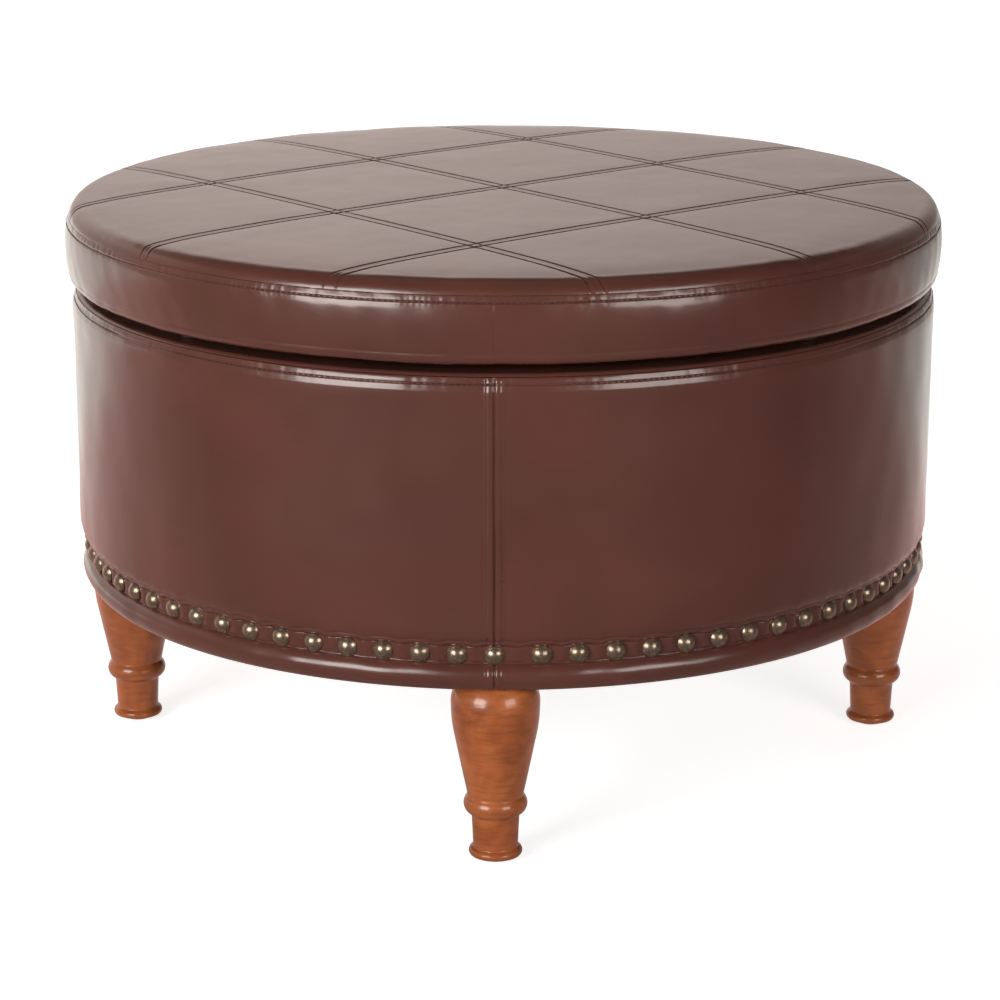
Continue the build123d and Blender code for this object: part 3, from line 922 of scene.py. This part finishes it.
turns = np.linspace(0, 2 * math.pi, 480, endpoint=False)
steps = np.concatenate([np.linspace(184.4, 190, 5), np.linspace(194, 426, 60), np.linspace(428, 431.8, 3)])
angle, height = np.meshgrid(turns, steps, indexing="ij")
around = angle * WELL_R
slack = field(around, height * 0.6, 41, 120.0) * 0.5 + field(around, height * 0.5, 42, 36.0) * 0.25
slack = np.clip(slack * smooth(184, 196, height) * smooth(432, 420, height), -0.6, 1)
wall_cloth = lathe("lining_wall_cloth", turns, WELL_R - 0.35 - 0.5 * slack, height, lining)
dress(wall_cloth, "base", "lining", "lining_wall")
floor_cloth = cloth_disc("lining_floor_cloth", WELL_FLOOR, lining, 44, 0.5, False)
dress(floor_cloth, "base", "lining", "lining_floor")
lid_cloth = cloth_disc("lid_lining_cloth", LID_LINING, lining, 46, 0.12, True)
dress(lid_cloth, "lid", "lining", "lid_lining")
under_cloth = cloth_disc("dust_cover_cloth", DUST_COVER, dust_cloth, 48, 0.3, True)
dress(under_cloth, "base", "dust_cloth", "dust_cover")

# Floor, light and camera
scene = bpy.context.scene
scene.view_settings.view_transform = "Standard"


def sees(add, link):
    """1 for rays from the camera or through glass, so that the backdrop shows white to them."""
    rays = add("ShaderNodeLightPath")
    both = add("ShaderNodeMath", operation="MAXIMUM")
    link(rays.outputs["Is Camera Ray"], both.inputs[0])
    link(rays.outputs["Is Transmission Ray"], both.inputs[1])
    return both.outputs[0]


# White sweep behind the object, brightest to its left, and a dim room on the camera's side
scene.world = bpy.data.worlds.new("studio")
scene.world.use_nodes = True
add, link = tree_tools(scene.world.node_tree)
back = scene.world.node_tree.nodes["Background"]
aim = add("ShaderNodeSeparateXYZ")
link(add("ShaderNodeTexCoord").outputs["Generated"], aim.inputs[0])
sweep = ranged(add, link, aim.outputs["X"], -1, 1,
               [(-1.0, grey(0.64)), (-0.76, grey(0.98)), (-0.46, grey(1.06)), (-0.2, grey(1.05)),
                (-0.08, grey(1.12)), (0.12, grey(0.82)), (0.42, grey(0.4)), (0.8, grey(0.16)),
                (1.0, grey(0.11))])
depth = ranged(add, link, aim.outputs["Y"], -1, 1,
               [(-1.0, (0.16, 0.145, 0.136)), (-0.16, (0.22, 0.20, 0.187)), (0.24, (1.0, 0.835, 0.77))])
ceiling = ranged(add, link, aim.outputs["Z"], 0, 1,
                 [(0.0, grey(0.84)), (0.17, grey(0.92)), (0.3, grey(1.1)), (0.47, grey(1.3)),
                  (0.61, grey(0.12)), (1.0, grey(0.07))])
room = mix(add, link, "MULTIPLY", 1.0, mix(add, link, "MULTIPLY", 1.0, sweep, depth), ceiling)
link(mix(add, link, "MIX", sees(add, link), room, (1, 1, 1)), back.inputs["Color"])
back.inputs["Strength"].default_value = 1.0

# Floor: white to the camera with the object's shadow, and the same sweep where it is seen in a reflection
bpy.ops.mesh.primitive_plane_add(size=24, location=(0, 0, 0))
ground = bpy.context.object
ground.name = "floor"
ground_mat, shader, add, link, place = new_material("pale_floor")
mirrored = add("ShaderNodeLightPath").outputs["Is Glossy Ray"]
spot = add("ShaderNodeSeparateXYZ")
link(place, spot.inputs[0])
pale = mix(add, link, "MIX", noise(add, link, place, 3.0), grey(0.80), grey(0.84))
link(mix(add, link, "MIX", mirrored, pale, grey(0.06)), shader.inputs["Base Color"])
shader.inputs["Roughness"].default_value = 0.9
shader.inputs["Specular IOR Level"].default_value = 0.0
behind = ranged(add, link, spot.outputs["Y"], -0.5, 1.2,
                [(-0.5, (0.10, 0.088, 0.082)), (-0.07, (0.60, 0.40, 0.37)), (0.36, (0.95, 0.60, 0.55)),
                 (0.51, (1.0, 0.66, 0.60)), (0.79, (1.25, 0.98, 0.92)), (0.95, (1.4, 1.28, 1.16)),
                 (1.2, (1.5, 1.45, 1.35))])
beside = ranged(add, link, spot.outputs["X"], 0, 3.0,
                [(0.0, grey(1.0)), (0.45, grey(1.0)), (0.69, grey(0.92)), (0.94, grey(0.8)), (1.1, grey(0.7)),
                 (1.3, grey(0.58)), (1.6, grey(0.5)), (2.2, grey(0.46)), (3.0, grey(0.3))])
glow = mix(add, link, "MULTIPLY", 1.0, behind, beside)
link(mix(add, link, "MIX", mirrored, (1, 1, 1), glow), shader.inputs["Emission Color"])
away = add("ShaderNodeVectorMath", operation="LENGTH")
link(place, away.inputs[0])
level = add("ShaderNodeMapRange", From_Min=0.4, From_Max=1.8, To_Min=0.78, To_Max=1.0)
link(away.outputs["Value"], level.inputs["Value"])
shown = add("ShaderNodeMath", operation="MULTIPLY")
link(level.outputs[0], shown.inputs[0])
link(sees(add, link), shown.inputs[1])
strength = add("ShaderNodeMath", operation="MAXIMUM")
link(shown.outputs[0], strength.inputs[0])
link(mirrored, strength.inputs[1])
link(strength.outputs[0], shader.inputs["Emission Strength"])
ground.data.materials.append(ground_mat)


def lamp(name, place, target, size, power):
    """Warm white soft box, aimed at a target; places and sizes in metres, power in watts."""
    data = bpy.data.lights.new(name, "AREA")
    data.shape = "RECTANGLE"
    data.size, data.size_y = size
    data.energy = power
    data.color = (1.0, 0.96, 0.92)
    obj = bpy.data.objects.new(name, data)
    scene.collection.objects.link(obj)
    obj.location = place
    obj.rotation_euler = (Vector(target) - Vector(place)).to_track_quat("-Z", "Y").to_euler()


lamp("key_left", (-1.7, -2.36, 0.95), (0, 0, 0.35), (1.5, 1.1), 60)
lamp("key_right", (1.75, -2.32, 0.95), (0, 0, 0.35), (1.3, 1.0), 29)
lamp("overhead", (0, 0.2, 3.4), (0, 0, 0.4), (2.4, 2.4), 2)

camera_data = bpy.data.cameras.new("camera")
camera_data.sensor_width = 36
camera_data.lens = CAMERA_LENS
camera_data.clip_end = 60
camera = bpy.data.objects.new("camera", camera_data)
scene.collection.objects.link(camera)
camera.location = CAMERA_PLACE
camera.rotation_euler = (math.radians(90 - CAMERA_DOWN), 0, math.radians(CAMERA_LEFT))
scene.camera = camera
